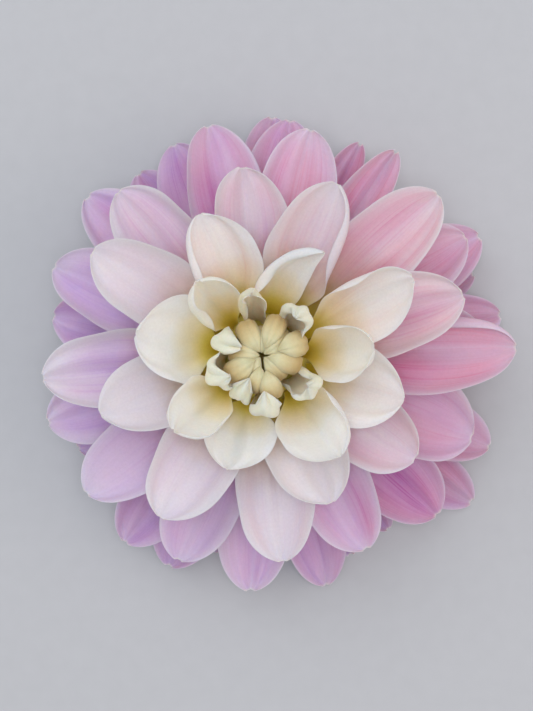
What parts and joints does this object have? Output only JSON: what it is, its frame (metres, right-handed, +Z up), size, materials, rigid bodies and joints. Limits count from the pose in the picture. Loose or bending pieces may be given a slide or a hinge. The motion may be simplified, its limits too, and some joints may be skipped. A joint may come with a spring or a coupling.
{
  "type": "dahlia flower",
  "caption": "Cut double dahlia bloom lying face up: cupped cream petals round a closed centre, opening out to pink and lavender ones over green bracts.",
  "frame": {"origin": "centre of the bloom's outline on the surface it lies on", "axes": "+Z up through the face of the bloom, its shortest extent; the bloom's own axis is vertical, a few millimetres to the -X side of the origin"},
  "size_m": [0.1134, 0.1194, 0.052],
  "materials": {
    "petal_cream": "matte, faintly translucent cream petal",
    "petal_white": "matte white petal with a lilac-pink flush",
    "petal_pink": "matte pink to lavender petal with fine veins",
    "petal_mauve": "matte mauve-pink petal, shaded",
    "bract_green": "matte green leaf",
    "bract_pale": "thin pale green membrane",
    "stem_green": "satin green stem"
  },
  "bodies": {
    "root": {"stem_and_receptacle": "stem_green", "outer_bracts": "bract_green", "inner_bracts": "bract_pale", "closed_centre": "petal_cream", "curled_floret_1": "petal_cream", "curled_floret_2": "petal_cream", "curled_floret_3": "petal_cream", "curled_floret_4": "petal_cream", "curled_floret_5": "petal_cream", "cup_floret_1": "petal_cream", "cup_floret_2": "petal_cream", "cup_floret_3": "petal_cream", "cup_floret_4": "petal_cream", "cup_floret_5": "petal_cream", "cup_floret_6": "petal_cream", "cup_floret_7": "petal_cream", "cup_floret_8": "petal_cream", "cup_floret_9": "petal_cream", "cup_floret_10": "petal_cream", "middle_floret_1": "petal_white", "middle_floret_2": "petal_white", "middle_floret_3": "petal_white", "middle_floret_4": "petal_white", "middle_floret_5": "petal_white", "middle_floret_6": "petal_white", "middle_floret_7": "petal_white", "middle_floret_8": "petal_white", "middle_floret_9": "petal_white", "middle_floret_10": "petal_white", "middle_floret_11": "petal_white", "middle_floret_12": "petal_white", "outer_floret_1": "petal_pink", "outer_floret_2": "petal_pink", "outer_floret_3": "petal_pink", "outer_floret_4": "petal_pink", "outer_floret_5": "petal_pink", "outer_floret_6": "petal_pink", "outer_floret_7": "petal_pink", "outer_floret_8": "petal_pink", "outer_floret_9": "petal_pink", "outer_floret_10": "petal_pink", "outer_floret_11": "petal_pink", "outer_floret_12": "petal_pink", "outer_floret_13": "petal_pink", "outer_floret_14": "petal_pink", "back_floret_1": "petal_mauve", "back_floret_2": "petal_mauve", "back_floret_3": "petal_mauve", "back_floret_4": "petal_mauve", "back_floret_5": "petal_mauve", "back_floret_6": "petal_mauve", "back_floret_7": "petal_mauve", "back_floret_8": "petal_mauve", "back_floret_9": "petal_mauve", "back_floret_10": "petal_mauve", "back_floret_11": "petal_mauve", "back_floret_12": "petal_mauve", "back_floret_13": "petal_mauve", "back_floret_14": "petal_mauve", "back_floret_15": "petal_mauve"}
  },
  "joints": []
}
